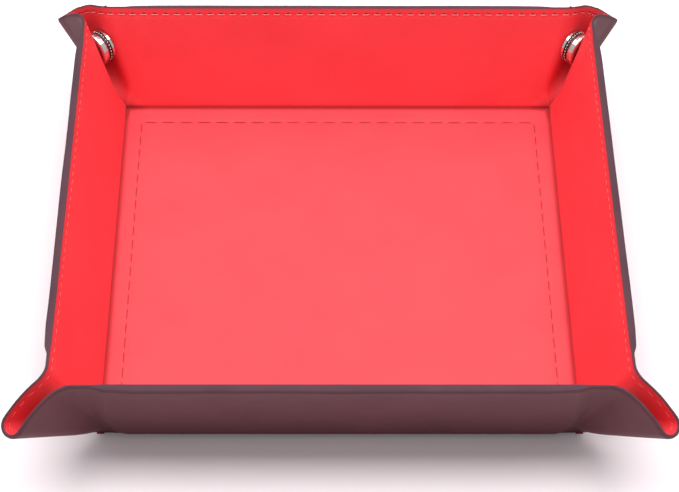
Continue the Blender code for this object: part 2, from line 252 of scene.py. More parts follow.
class Half:
    """One wall's end and the half ear beyond it. outward is square to the wall, along runs to the corner."""

    def __init__(self, outward, along):
        self.outward, self.along = np.array(outward, float), np.array(along, float)
        self.hand = float(np.sign(np.linalg.det(np.array([self.outward, self.along, UP]))))
        self.droop = BACK_DROOP if self.outward[1] + self.along[1] > 0 else 0.0

    def face(self, a, b):
        return shape(a, b, self.droop)

    def sheet_normal(self, a, b):
        """Square to the sheet, and in the corner's plane where the two halves of an ear meet."""
        n = normal(self.face, a, b)
        across = np.array([1, -1, 0]) / ROOT2
        near = (1 - smooth((a - b) / ROOT2 / 0.0025)) * smooth((0.015 - a) / 0.004) * (a > 0)
        return unit(n - (near * (n @ across))[..., None] * across)

    def world(self, p):
        return ((HALF + p[..., 0:1]) * self.outward + (HALF + p[..., 1:2]) * self.along
                + (FACE + p[..., 2:3]) * np.array(UP))

    def turn(self, v):
        return v[..., 0:1] * self.outward + v[..., 1:2] * self.along + v[..., 2:3] * np.array(UP)

    def flat(self, a, b):
        return self.world(np.stack([a, b, np.zeros_like(a)], -1))

    def lining(self, a, b):
        """The lining's face: uneven, sunk where no board backs it, drawn in at edge, thread and crease."""
        mat = self.flat(a, b)
        edge = edge_distance(a, b)
        waves = mat_waves(mat[..., 0], mat[..., 1])
        relief = LINING_WAVE * waves * smooth(np.abs(a) / 0.008) * smooth(edge / 0.004)
        off_fold = smooth(((a - b) / ROOT2 - 0.0015) / 0.004)
        relief = relief - BOARD_STEP * (1 - board(a, b)) * smooth(a / 0.004) * off_fold
        relief = relief - LINING_EDGE_ROLL * (1 - np.clip(edge / 0.0006, 0, 1)) ** 2
        relief = relief - STITCH_PULL * dent(edge - STITCH_INSET, 0.0006) * (a > 0.002)
        relief = relief - CREASE_PRESS * dent(a, 0.0007) * smooth((0.001 - b) / 0.002)
        return self.face(a, b) + relief[..., None] * self.sheet_normal(a, b)

    def cover(self, a, b):
        """The cover's face, thicker over the boards and at the walls' tops, and thinner over the ears."""
        mat = self.flat(a, b)
        edge = edge_distance(a, b)
        on_ear = smooth(crease_frame(a, b)[1] / 0.006) * smooth(((a - b) / ROOT2 - 0.004) / 0.005)
        thick = SHEETS + BOARD_EXTRA * board(a, b) - EAR_THINNER * on_ear * smooth((0.012 - edge) / 0.010)
        thick = thick + TOP_THICKER * smooth((-0.001 - b) / 0.013) * smooth((0.008 - edge) / 0.007)
        thick = thick - COVER_EDGE_ROLL * (1 - np.clip(edge / 0.0008, 0, 1)) ** 2
        thick = thick + COVER_WAVE * mat_waves(mat[..., 1], mat[..., 0]) * smooth(np.abs(a) / 0.008)
        return self.face(a, b) - thick[..., None] * self.sheet_normal(a, b)


def wall_half(name, sign):
    outward = WALLS[name]
    return Half(outward, UP.cross(outward) * sign)


def ear_half(corner, side):
    sx, sy = CORNERS[corner]
    return Half((sx, 0, 0), (0, sy, 0)) if side else Half((0, sy, 0), (sx, 0, 0))


# Meshes.

def mesh_object(name, points, faces, flat, normals=None, shade=None):
    mesh = bpy.data.meshes.new(name)
    if normals is not None:
        p, f = np.asarray(points), np.asarray(faces)
        facing = np.cross(p[f[:, 2]] - p[f[:, 0]], p[f[:, 3]] - p[f[:, 1]])
        if np.sum(facing * np.asarray(normals)[f[:, 0]]) < 0:
            faces = f[:, ::-1]
    mesh.from_pydata([tuple(p) for p in points], [], [tuple(f) for f in faces])
    mesh.update()
    layer = mesh.attributes.new("flat_mat", "FLOAT_VECTOR", "POINT")
    layer.data.foreach_set("vector", np.asarray(flat, np.float32).ravel())
    dark = mesh.attributes.new("crease_shade", "FLOAT", "POINT")
    dark.data.foreach_set("value", np.zeros(len(points), np.float32) if shade is None
                          else np.asarray(shade, np.float32).ravel())
    mesh.polygons.foreach_set("use_smooth", [True] * len(mesh.polygons))
    if normals is not None:
        mesh.normals_split_custom_set_from_vertices([tuple(n) for n in normals])
    obj = bpy.data.objects.new(name, mesh)
    bpy.context.scene.collection.objects.link(obj)
    return obj


def grid_faces(rows, columns, flip=False):
    index = np.arange(rows * columns).reshape(rows, columns)
    quads = np.stack([index[:-1, :-1], index[1:, :-1], index[1:, 1:], index[:-1, 1:]], -1).reshape(-1, 4)
    return quads[:, ::-1] if flip else quads


def spaced(length, fine, coarse, fine_length):
    """Places from 0 to 1 along a length, close together over its first part."""
    n_fine = max(2, round(fine_length / fine))
    n_coarse = max(2, round((length - fine_length) / coarse))
    first = np.linspace(0, fine_length / length, n_fine, endpoint=False)
    ease = np.linspace(0, 1, n_coarse + 1)
    return np.concatenate([first, fine_length / length + (1 - fine_length / length) * ease])


def face_normals(half, surface, a, b, outside):
    return half.turn(normal(surface, a, b)) * (-1 if outside else 1)


def skin(name, half, a, b, outside):
    """A patch of the lining or cover over a grid of flat points."""
    surface = half.cover if outside else half.lining
    points, flat = half.world(surface(a, b)), half.flat(a, b)
    normals = face_normals(half, surface, a, b, outside)
    return mesh_object(name, points.reshape(-1, 3), grid_faces(*a.shape), flat.reshape(-1, 3),
                       normals.reshape(-1, 3), skin_shade(a, b, outside))


def skin_shade(a, b, outside):
    """Painted shade on the sheet: in the floor creases, at the base's corner, inside the ears and low on the
    cover; also darker along the mat's edge.
    """
    edge = edge_distance(a, b)
    # Painted shade in the floor crease and at the base's corner.
    shade = 0.9 * dent(a, 0.0009) + 0.5 * dent(np.hypot(a, b), 0.004)
    # A darker line along the mat's edge.
    shade = shade + (0.3 if outside else 0.7) * dent(edge, 0.0006)
    if outside:
        # Painted shade: the cover darkens towards the wall's foot.
        shade = shade + 0.30 * smooth((0.024 - a) / 0.024) * (a > 0)
    else:
        # Painted shade inside the ears, away from their edges.
        shade = shade + 0.32 * smooth(crease_frame(a, b)[1] / 0.006) * smooth((edge - 0.001) / 0.007)
    return np.clip(shade, 0, 1)


def wall_rows():
    """Rows of a wall's skin, close together at the floor crease, at its foot and at the stitched top."""
    floor = -np.linspace(FLOOR_STRIP, 0.0012, 5)
    bend = np.linspace(-0.0010, 0.0012, 10)
    foot = np.linspace(0.0015, 0.004, 6)
    body = np.linspace(0.0048, 0.0352, 34)
    top = np.linspace(0.0355, WALL_HEIGHT, 9)
    return np.concatenate([floor, bend, foot, body, top])


def row_end(a):
    """Where a wall's own skin stops on each row: where the bend into the ear starts."""
    foot = np.maximum(a, 0)
    for _ in range(12):
        foot = np.where(a > BEND_FOOT, a - rounding(foot) * SIN_L, foot)
    end = crease(foot) - np.where(a > BEND_FOOT, rounding(foot) * COS_L, 0)
    return np.where(a < 0, a, end)


def joined_spans(*spans):
    """Places over spans of (start, end, count) that follow on from each other, each shared end once."""
    parts = [np.linspace(*span) for span in spans]
    return np.concatenate([part[:-1] for part in parts[:-1]] + parts[-1:])


def bend_grid():
    """Flat points of the wall's half of the bend into an ear, from its start to the crease."""
    c = np.linspace(0, 1, 11)[None, :]
    u = joined_spans((0, 0.3, 15), (0.3, 0.94, 34), (0.94, 1, 8))[:, None]
    top = np.full_like(c, WALL_HEIGHT)
    for _ in range(12):
        top = WALL_HEIGHT - rounding(top) * (1 - c) * SIN_L
    low = np.full_like(c, BEND_FOOT)
    for _ in range(12):
        low = BEND_FOOT - rounding(low) * (1 - c) * SIN_L
    foot = low + u * (top - low)
    side = -rounding(foot) * (1 - c)
    return foot - side * SIN_L, crease(foot) + side * COS_L


def wall_skin(name, outside):
    """The lining or cover of a wall, from a little inside the floor crease to the mat's edge, and between the
    bends into its two ears."""
    rows = wall_rows()
    fractions = spaced(HALF, 0.0005, 0.0016, 0.014)
    parts = []
    for sign in (-1, 1):
        half = wall_half(name, sign)
        surface = half.cover if outside else half.lining
        length = HALF + row_end(rows)
        a = np.repeat(rows[:, None], len(fractions), 1)
        b = row_end(a) - fractions[None, :] * length[:, None]
        b[:, -1] = -HALF
        parts.append((half.world(surface(a, b)), half.flat(a, b), face_normals(half, surface, a, b, outside),
                      skin_shade(a, b, outside)[..., None]))
    columns = 2 * len(fractions) - 1
    joined = [np.concatenate([parts[0][k], parts[1][k][:, ::-1][:, 1:]], 1) for k in range(4)]
    points, flat, normals, shade = (x.reshape(-1, x.shape[-1]) for x in joined)
    faces = grid_faces(len(rows), columns)
    return mesh_object(f"{name}_{sheet_kind(outside)}_skin", points, faces, flat, normals, shade)


def bend_skin(name, sign, outside):
    """The strip at a wall's end that bends round into the ear, as far as the crease."""
    piece_name = f"{name}_{sheet_kind(outside)}_bend_{hand_word(sign)}"
    return skin(piece_name, wall_half(name, sign), *bend_grid(), outside)


def ear_edge(fraction):
    """The mat's edge from the top of the crease round to the ear's diagonal, as flat points."""
    top = crease(np.array([WALL_HEIGHT]))[0]
    straight = CORNER_CENTRE - top
    arc = MAT_CORNER_RADIUS * math.pi / 4
    run = fraction * (straight + arc)
    angle = np.clip(run - straight, 0, None) / MAT_CORNER_RADIUS
    a = CORNER_CENTRE + MAT_CORNER_RADIUS * np.cos(angle)
    b = np.where(run < straight, top + run, CORNER_CENTRE + MAT_CORNER_RADIUS * np.sin(angle))
    return np.stack([a, b], -1)


def ear_grid(rows, columns):
    """Flat points that fan out from the base's corner between the crease and the diagonal."""
    tau = rows[:, None, None]
    sigma = columns[None, :, None]
    edge = ear_edge(columns)[None, :, :]
    up = rows * WALL_HEIGHT
    start = np.stack([up, crease(up)], -1)[:, None, :]
    top = start[-1:, :, :]
    point = tau * edge + (1 - sigma) * (start - tau * top)
    return point[..., 0], point[..., 1]


EAR_ROWS = joined_spans((0, 0.3, 19), (0.3, 0.94, 36), (0.94, 1, 9))
EAR_COLUMNS = joined_spans((0, 0.3, 17), (0.3, 0.8, 17), (0.8, 1, 13))


def ear_name(corner, side):
    return f"{corner}_{'side' if side else 'end'}_ear"


def ear_skin(corner, side, outside):
    name = f"{ear_name(corner, side)}_{sheet_kind(outside)}_skin"
    return skin(name, ear_half(corner, side), *ear_grid(EAR_ROWS, EAR_COLUMNS), outside)


def edge_band(name, half, a, b, out_a, out_b, flip):
    """The painted edge between the two sheets: a slightly rounded band along the mat's outline."""
    inner, outer = half.lining(a, b), half.cover(a, b)
    step, bulge, steps = 0.0001, 0.00038, 7
    outwards = unit(half.face(a, b) - half.face(a - step * out_a, b - step * out_b))
    middle, arm = (inner + outer) / 2, (inner - outer) / 2
    rows = []
    for k in range(steps + 1):
        angle = math.pi * k / steps
        rows.append(middle + arm * math.cos(angle) + outwards * bulge * math.sin(angle) ** 0.6)
    points = half.world(np.stack(rows, 0))
    flat = np.broadcast_to(half.flat(a, b), points.shape).copy()
    flat[..., 2] += np.linspace(0, 0.002, steps + 1)[:, None]
    faces = grid_faces(steps + 1, len(a), flip)
    return mesh_object(name, points.reshape(-1, 3), faces, flat.reshape(-1, 3))


def wall_edge(name, sign, bend):
    """The band along one half of a wall's top, or round the short bend from there to the crease."""
    half = wall_half(name, sign)
    middle = row_end(np.array([WALL_HEIGHT]))[0]
    b = np.linspace(crease(WALL_HEIGHT), middle, 24) if bend else np.linspace(middle, -HALF, 140)
    part = "edge_bend" if bend else "edge"
    return edge_band(f"{name}_{part}_{hand_word(sign)}", half, np.full_like(b, WALL_HEIGHT), b, 1.0, 0.0,
                     half.hand > 0)


EDGE_RUN = CORNER_CENTRE - float(crease(np.array([WALL_HEIGHT]))[0]) + MAT_CORNER_RADIUS * math.pi / 4
FOLD_SHARE = 1 - 0.0044 / EDGE_RUN       # the part of an ear's edge before the fold's bend


def ear_band(corner, side, fold):
    """The band round an ear half's edge, up to where the fold starts to bend, or from there on."""
    half = ear_half(corner, side)
    edge = ear_edge(np.linspace(FOLD_SHARE, 1, 30) if fold else np.linspace(0, FOLD_SHARE, 70))
    a, b = edge[:, 0], edge[:, 1]
    angle = np.where(b > CORNER_CENTRE, np.arctan2(b - CORNER_CENTRE, a - CORNER_CENTRE), 0)
    name = f"{ear_name(corner, side)}_{'fold_edge' if fold else 'edge'}"
    return edge_band(name, half, a, b, np.cos(angle), np.sin(angle), half.hand > 0)


# Hidden strips between the sheets at the folds, which show only as the mat opens and close the folds then.

def corner_point(half, place, lateral):
    """A world point from the corner's upright plane and a distance to its side."""
    x = place[..., 0]
    return half.world(np.stack([(x + lateral) / ROOT2, (x - lateral) / ROOT2, place[..., 1]], -1))


def strip(name, columns, outside):
    points = np.stack([np.asarray(column, float) for column in columns], 1).reshape(-1, 3)
    return sheet_paint(mesh_object(name, points, grid_faces(len(columns[0]), len(columns)), points), outside)


def fold_web(corner):
    """Closes the diagonal between the two halves of an ear, on the lining's side and on the cover's."""
    half = ear_half(corner, True)
    a = np.linspace(0.0018, CORNER_CENTRE + MAT_CORNER_RADIUS / ROOT2 - 0.0001, 44)
    place = ear_place(a, a, half.droop)[0]
    spread = closing(a)
    full = place[spread > 0.985]
    under, over = EAR_GAP / 2 - 0.0001, EAR_GAP / 2 + 0.00006
    beside_cover = EAR_GAP / 2 + 0.06 * SHEETS
    lining = [(place + 0.00022 * spread[:, None] * FROM_FOLD, over * spread),
              (place - 0.00045 * FROM_FOLD, under * spread)]
    cover = [(full + 0.00060 * FROM_FOLD, beside_cover), (full - 0.00030 * FROM_FOLD, beside_cover)]
    for outside, rows in ((False, lining), (True, cover)):
        columns = [corner_point(half, at, side) for at, side in rows]
        columns += [corner_point(half, at, -side) for at, side in rows[::-1]]
        web = strip(f"{corner}_fold_web{'_cover' if outside else ''}", columns, outside)
        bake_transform(web)


def bend_line(half, foot, depth):
    """Points along a crease at a depth under the lining, and the sheet's direction across it there."""
    place = half.face(foot, crease(foot)) - depth * half.sheet_normal(foot, crease(foot))
    step = 0.0002
    way = (half.face(foot - step * SIN_L, crease(foot) + step * COS_L)
           - half.face(foot + step * SIN_L, crease(foot) - step * COS_L))
    return place, unit(way)


def wall_of(half):
    return next(w for w, o in WALLS.items() if (Vector(half.outward) - o).length < 0.1)


def crease_webs(corner):
    """Closes the crease between a side wall and its half of an ear, with webs laid across it."""
    half = ear_half(corner, True)
    core = 0.00012
    spans = ((0.0042, 0.0060, 5), (0.0060, 0.0095, 5), (0.0095, WALL_HEIGHT - 0.0001, 30))
    for outside, depth in ((False, 0.0003), (True, 0.0012)):
        for k, span in enumerate(spans):
            place, way = bend_line(half, np.linspace(*span), depth)
            reach = core + 0.0005 * np.clip((place[:, 0:1] - 0.004) / 0.006, 0, 1)
            columns = [half.world(place + across * way) for across in (-reach, -core, core, reach)]
            web = strip(f"{corner}_crease_web_{sheet_kind(outside)}_{k}", columns, outside)
            first, second = columns[1], columns[2]
            line = (first[-1] - first[0]) / np.linalg.norm(first[-1] - first[0])
            step = np.mean(second - first, 0)
            step -= (step @ line) * line
            step = Vector(step / np.linalg.norm(step)) * 0.00003
            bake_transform(web)


def crease_tongues(corner):
    """Closes the crease between an end wall and its half of an ear. No joint joins them, so a blend can't
    span them, and each carries its own strips instead."""
    half = ear_half(corner, False)
    foot = np.linspace(0.004, WALL_HEIGHT - 0.0001, 36)
    turn = rounding(foot)[:, None]
    under = 0.0005 * np.clip(foot / 0.010, 0, 1)[:, None]
    for outside, depth, reach in ((False, 0.0004, 0.32 * turn), (True, 0.0012, 0.36 * turn + 0.0009)):
        place, way = bend_line(half, foot, depth)
        for body, sign in ((wall_of(half), 1), (corner + "_end_ear", -1)):
            columns = [half.world(place - sign * under * way), half.world(place + sign * reach * way)]
            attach(strip(f"{corner}_{body}_{sheet_kind(outside)}_tongue", columns, outside), body)


def corner_patch(corner):
    """Closes the mat's own corner between the base and the two walls."""
    sx, sy = CORNERS[corner]
    for outside, depth, reach in ((False, 0.0004, 0.0014), (True, 0.0013, 0.0012)):
        near, far = HALF - 0.0012, HALF + reach
        columns = [[(sx * x, sy * y, FACE - depth) for y in (near, far)] for x in (near, far)]
        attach(strip(f"{corner}_{sheet_kind(outside)}_patch", columns, outside), "base")


def floor_skin(outside):
    """The lining or cover of the base. The lining dips along the floor's thread."""
    edge, count = HALF - FLOOR_STRIP, 181
    places = np.linspace(-edge, edge, count)
    x, y = np.meshgrid(places, places, indexing="ij")
    if outside:
        z = np.zeros_like(x)
    else:
        x_line, y_line = HALF - FLOOR_STITCH_SIDE, HALF - FLOOR_STITCH_END
        from_side = np.abs(np.abs(x) - x_line) + np.where(np.abs(y) > y_line, 1, 0)
        from_end = np.abs(np.abs(y) - y_line) + np.where(np.abs(x) > x_line, 1, 0)
        groove = dent(np.minimum(from_side, from_end), 0.0007)
        inside = smooth((edge - np.maximum(np.abs(x), np.abs(y))) / 0.006)
        z = FACE - 0.00012 * groove * inside ** 0.2 + 0.00014 * mat_waves(x, y) * inside
    points = np.stack([x, y, z], -1).reshape(-1, 3)
    flat = np.stack([x, y, np.full_like(x, FACE)], -1).reshape(-1, 3)
    return mesh_object(f"floor_{sheet_kind(outside)}_skin", points, grid_faces(count, count, outside), flat)



# Materials.

def new_material(name):
    material = bpy.data.materials.new(name)
    material.use_nodes = True
    tree = material.node_tree
    return material, tree, tree.nodes["Principled BSDF"]


def add(tree, kind, **settings):
    node = tree.nodes.new(kind)
    for key, value in settings.items():
        if key in node.inputs:
            node.inputs[key].default_value = value
        else:
            setattr(node, key, value)
    return node


def mat_coordinates(tree):
    """Places in the flat mat, so that the grain stays with the sheet through every fold."""
    return add(tree, "ShaderNodeAttribute", attribute_name="flat_mat").outputs["Vector"]


def noise(tree, where, scale, detail=3.0, roughness=0.55):
    node = add(tree, "ShaderNodeTexNoise", Scale=scale, Detail=detail, Roughness=roughness)
    tree.links.new(where, node.inputs["Vector"])
    return node.outputs["Fac"]


def ramp(tree, value, stops):
    node = add(tree, "ShaderNodeValToRGB")
    element = node.color_ramp.elements
    while len(element) < len(stops):
        element.new(0.5)
    for e, (place, colour) in zip(element, stops):
        e.position = place
        e.color = (*colour, 1)
    tree.links.new(value, node.inputs["Fac"])
    return node.outputs["Color"]


def bump(tree, value, strength, distance, before=None):
    node = add(tree, "ShaderNodeBump", Strength=strength, Distance=distance)
    tree.links.new(value, node.inputs["Height"])
    if before is not None:
        tree.links.new(before, node.inputs["Normal"])
    return node.outputs["Normal"]


def pebble(tree, where, scale):
    cells = add(tree, "ShaderNodeTexVoronoi", Scale=scale, feature="SMOOTH_F1")
    tree.links.new(where, cells.inputs["Vector"])
    return cells.outputs["Distance"]


def leather(name, dark, light, roughness, grain, shine):
    """Imitation leather: a slow drift of tone, painted shade (darker and duller) by crease_shade, and a
    pebbled grain.
    """
    material, tree, shader = new_material(name)
    where = mat_coordinates(tree)
    tone = noise(tree, where, 45.0, 5.0)
    drift = ramp(tree, tone, [(0.30, dark), (0.70, light)])
    # Painted shade: the colour is pulled towards 0.45 of the dark tone, and the roughness raised, where
    # crease_shade is high.
    shade = add(tree, "ShaderNodeAttribute", attribute_name="crease_shade").outputs["Fac"]
    deep = add(tree, "ShaderNodeMix", data_type="RGBA")
    tree.links.new(shade, deep.inputs["Factor"])
    tree.links.new(drift, deep.inputs[6])
    deep.inputs[7].default_value = (*(c * 0.45 for c in dark), 1)
    tree.links.new(deep.outputs[2], shader.inputs["Base Color"])
    rough = add(tree, "ShaderNodeMapRange")
    tree.links.new(noise(tree, where, 140.0, 3.0), rough.inputs["Value"])
    rough.inputs["To Min"].default_value = roughness - 0.05
    rough.inputs["To Max"].default_value = roughness + 0.06
    dull = add(tree, "ShaderNodeMath", operation="MULTIPLY_ADD", use_clamp=True)
    tree.links.new(shade, dull.inputs[0])
    dull.inputs[1].default_value = 0.45
    tree.links.new(rough.outputs["Result"], dull.inputs[2])
    tree.links.new(dull.outputs[0], shader.inputs["Roughness"])
    fine = bump(tree, pebble(tree, where, 1900.0), grain, 0.00012)
    broad = bump(tree, noise(tree, where, 420.0, 4.0), grain * 0.6, 0.00018, fine)
    tree.links.new(broad, shader.inputs["Normal"])
    shader.inputs["Specular IOR Level"].default_value = shine
    return material


def thread_material(name, dark, light):
    """Twisted thread, banded along its length."""
    material, tree, shader = new_material(name)
    where = add(tree, "ShaderNodeTexCoord").outputs["Object"]
    twist = add(tree, "ShaderNodeTexWave", Scale=900.0, Distortion=1.0)
    tree.links.new(where, twist.inputs["Vector"])
    tree.links.new(ramp(tree, twist.outputs["Fac"], [(0.0, dark), (1.0, light)]),
                   shader.inputs["Base Color"])
    tree.links.new(bump(tree, twist.outputs["Fac"], 0.6, 0.0001), shader.inputs["Normal"])
    shader.inputs["Roughness"].default_value = 0.6
    return material


# A dark red mark beside each stitch: painted shadow of its needle hole.
def painted_hole_shadow():
    material, tree, shader = new_material("needle_hole_shadow")
    where = add(tree, "ShaderNodeTexCoord").outputs["Object"]
    stops = [(0.0, (0.16, 0.006, 0.010)), (1.0, (0.26, 0.012, 0.018))]
    tree.links.new(ramp(tree, noise(tree, where, 900.0), stops), shader.inputs["Base Color"])
    shader.inputs["Roughness"].default_value = 0.8
    return material


def metal(name, colour, worn, roughness):
    material, tree, shader = new_material(name)
    where = add(tree, "ShaderNodeTexCoord").outputs["Object"]
    tree.links.new(ramp(tree, noise(tree, where, 700.0, 4.0), [(0.35, colour), (0.75, worn)]),
                   shader.inputs["Base Color"])
    rough = add(tree, "ShaderNodeMapRange")
    tree.links.new(noise(tree, where, 1500.0, 3.0), rough.inputs["Value"])
    rough.inputs["To Min"].default_value = roughness
    rough.inputs["To Max"].default_value = roughness + 0.14
    tree.links.new(rough.outputs["Result"], shader.inputs["Roughness"])
    shader.inputs["Metallic"].default_value = 1.0
    return material


def card():
    material, tree, shader = new_material("pressed_card")
    where = add(tree, "ShaderNodeTexCoord").outputs["Object"]
    stops = [(0.3, (0.25, 0.21, 0.16)), (0.7, (0.42, 0.36, 0.28))]
    tree.links.new(ramp(tree, noise(tree, where, 320.0, 6.0), stops), shader.inputs["Base Color"])
    tree.links.new(bump(tree, noise(tree, where, 900.0, 4.0), 0.4, 0.0002), shader.inputs["Normal"])
    shader.inputs["Roughness"].default_value = 0.9
    return material


LINING = leather("lining_leather", (0.80, 0.036, 0.050), (0.87, 0.044, 0.058), 0.56, 0.14, 0.5)
COVER = leather("cover_leather", (0.090, 0.023, 0.032), (0.110, 0.029, 0.040), 0.52, 0.18, 0.28)
EDGE = leather("edge_paint", (0.075, 0.034, 0.046), (0.095, 0.044, 0.058), 0.66, 0.10, 0.15)
THREAD = thread_material("edge_thread", (0.62, 0.10, 0.11), (0.92, 0.36, 0.36))
SIDE_THREAD = thread_material("side_thread", (0.66, 0.045, 0.055), (0.86, 0.12, 0.13))
FLOOR_THREAD = thread_material("floor_thread", (0.30, 0.010, 0.016), (0.46, 0.018, 0.026))
HOLE_SHADOW = painted_hole_shadow()
NICKEL = metal("nickel_plate", (0.80, 0.79, 0.77), (0.66, 0.64, 0.62), 0.14)
# Near-black metal for the milled band: painted shade of the gap between socket and stud.
GAP_SHADE_METAL = metal("milled_gap_shade", (0.10, 0.08, 0.08), (0.05, 0.04, 0.04), 0.35)
CARD = card()


# Stitching.

def tube(points, radius, sides=6):
    """A thread with round ends along a few points: vertices and faces."""
    points = np.asarray(points)
    tangents = np.gradient(points, axis=0)
    tangents /= np.linalg.norm(tangents, axis=1, keepdims=True)
    reference = np.array([0.3, 0.2, 0.93])
    u = np.cross(tangents, reference)
    u /= np.linalg.norm(u, axis=1, keepdims=True)
    v = np.cross(tangents, u)
    angles = np.linspace(0, 2 * math.pi, sides, endpoint=False)
    scale = np.ones(len(points))
    scale[0] = scale[-1] = 0.45
    ring = (np.cos(angles)[None, :, None] * u[:, None, :] + np.sin(angles)[None, :, None] * v[:, None, :])
    vertices = points[:, None, :] + ring * (radius * scale)[:, None, None]
    count = len(points)
    faces = []
    for i in range(count - 1):
        for j in range(sides):
            k = (j + 1) % sides
            faces.append((i * sides + j, i * sides + k, (i + 1) * sides + k, (i + 1) * sides + j))
    faces.append(tuple(range(sides))[::-1])
    faces.append(tuple((count - 1) * sides + j for j in range(sides)))
    return vertices.reshape(-1, 3), faces


def merged(name, parts, material):
    vertices, faces, base = [], [], 0
    for v, f in parts:
        vertices.append(v)
        faces += [tuple(base + i for i in face) for face in f]
        base += len(v)
    vertices = np.concatenate(vertices)
    obj = mesh_object(name, vertices, faces, vertices)
    obj.data.materials.append(material)
    return obj


def surface_thread(half, start, end, height, radius):
    """A thread lying on the lining between two flat points, with both ends drawn into the leather."""
    t = np.linspace(0, 1, 7)
    a = start[0] + (end[0] - start[0]) * t
    b = start[1] + (end[1] - start[1]) * t
    lift = height * np.sin(math.pi * t) ** 0.6 - radius * 0.7
    place = half.lining(a, b) + normal(half.face, a, b) * lift[:, None]
    return tube(half.world(place), radius)


def edge_line(inset, along_length):
    """The stitch line of one half of a wall and its ear, from the wall's middle, by distance along it."""
    straight = HALF + CORNER_CENTRE
    radius = MAT_CORNER_RADIUS - inset
    angle = np.clip((along_length - straight) / radius, 0, math.pi / 4)
    a = CORNER_CENTRE + radius * np.cos(angle)
    b = np.where(along_length < straight, along_length - HALF, CORNER_CENTRE + radius * np.sin(angle))
    return a, b



def edge_stitches(name, sign):
    """The stitches and their painted needle-hole shadows from a wall's middle to the ear's fold, by what they
    lie on.
    """
    threads, hole_shadows = {}, {}
    half = wall_half(name, sign)
    total = HALF + CORNER_CENTRE + (MAT_CORNER_RADIUS - STITCH_INSET) * math.pi / 4
    end_gap, stitch, shadow_half = 0.0012, 0.0013, 0.0007
    for k in range(int(total / EDGE_PITCH)):
        middle = (k + 0.5) * EDGE_PITCH
        if middle > total - end_gap:
            continue
        ends = [edge_line(STITCH_INSET, np.array(middle + d)) for d in (-stitch, stitch)]
        # Painted shadow marks of the needle holes, just outside each stitch towards the edge.
        shadow_ends = [edge_line(STITCH_INSET - 0.00055, np.array(middle + d)) for d in (-shadow_half, shadow_half)]
        a, b = edge_line(STITCH_INSET, np.array(middle))
        foot, side = crease_frame(a, b)
        zone = ("wall" if side < -rounding(foot) else "bend" if side < 0 else
                "ear" if (a - b) / ROOT2 > STRIP + 0.001 else "fold")
        threads.setdefault(zone, []).append(surface_thread(half, *ends, height=0.00024, radius=0.00023))
        hole_shadows.setdefault(zone, []).append(surface_thread(half, *shadow_ends, height=0.00010, radius=0.00024))
    return threads, hole_shadows


def floor_stitches():
    """The rectangle of stitches just inside the floor creases."""
    parts = []
    insets = (FLOOR_STITCH_SIDE, FLOOR_STITCH_END)
    for axis, (inset, other) in enumerate((insets, insets[::-1])):
        line, reach = HALF - inset, HALF - other
        count = round(2 * reach / FLOOR_PITCH)
        pitch = 2 * reach / count
        shown = 0.38                     # the share of the pitch that each stitch covers to each side
        t = np.linspace(-shown, shown, 7)
        z = FACE - 0.00016 + 0.00012 * np.cos(t / shown * math.pi / 2)
        for sign in (-1, 1):
            for k in range(count):
                across = -reach + (k + 0.5) * pitch + t * pitch
                fixed = np.full_like(t, sign * line)
                xyz = (fixed, across, z) if axis == 0 else (across, fixed, z)
                parts.append(tube(np.stack(xyz, -1), THREAD_RADIUS))
    return parts


# Press studs.

def lathe(name, profile, centre, axis, material, steps=64, milling=None):
    """A turned piece: a profile of (radius, height) along an axis, with flutes milled on some rows."""
    u, v = sideways(axis)
    points = []
    for row, (radius, height) in enumerate(profile):
        for k in range(steps):
            angle = 2 * math.pi * k / steps
            r = radius
            if milling and row in milling:
                r = radius + milling[row] * (1 if k % 4 < 2 else -1)
            points.append(centre + axis * height + (u * math.cos(angle) + v * math.sin(angle)) * r)
    faces = []
    for row in range(len(profile) - 1):
        for k in range(steps):
            n = (k + 1) % steps
            faces.append((row * steps + k, row * steps + n, (row + 1) * steps + n, (row + 1) * steps + k))
    points = np.array([tuple(p) for p in points])
    obj = mesh_object(name, points, faces, points)
    obj.data.materials.append(material)
    return obj


def sideways(axis):
    """Two directions square to an axis and to each other."""
    u = axis.orthogonal().normalized()
    return u, axis.cross(u)


def build_snaps():
    for corner in CORNERS:
        for node in ("socket", "socket_rivet", "socket_spring", "stud", "stud_rivet"):
            dress(f"{corner}_{node}", NICKEL)
        build_milled_band(corner)


def build_milled_band(corner):
    """The milled band round the stud's drum: a ring painted near-black as the shade of the gap and milling,
    with a row of bright beads. Heights are measured from the end half's lining face, towards the side half."""
    sx, sy = CORNERS[corner]
    outwards = Vector((sx, -sy, 0)).normalized()
    low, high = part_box(f"{corner}_socket")
    centre = (Vector(low) + Vector(high)) / 2
    face = centre - outwards * centre.dot(outwards) - outwards * (EAR_GAP / 2)
    drum_low, drum_high, chamfer, flute = 0.0010, 0.0022, 0.00012, 0.00008
    inner, outer, bead_radius, beads = 0.00535, 0.00562, 0.00030, 30
    ring = [(inner, drum_low), (outer, drum_low + chamfer), (outer, drum_high - chamfer), (inner, drum_high)]
    band = lathe(f"{corner}_milled_band", ring, face, outwards, GAP_SHADE_METAL, 96, {1: flute, 2: flute})
    ride(band, f"{corner}_end_ear")
    u, v = sideways(outwards)
    middle = face + outwards * (drum_low + drum_high) / 2
    angles = [2 * math.pi * k / beads for k in range(beads)]
    places = [middle + (u * math.cos(t) + v * math.sin(t)) * outer for t in angles]
    parts = [ball(np.array(place), bead_radius) for place in places]
    ride(merged(f"{corner}_milled_beads", parts, NICKEL), f"{corner}_end_ear")


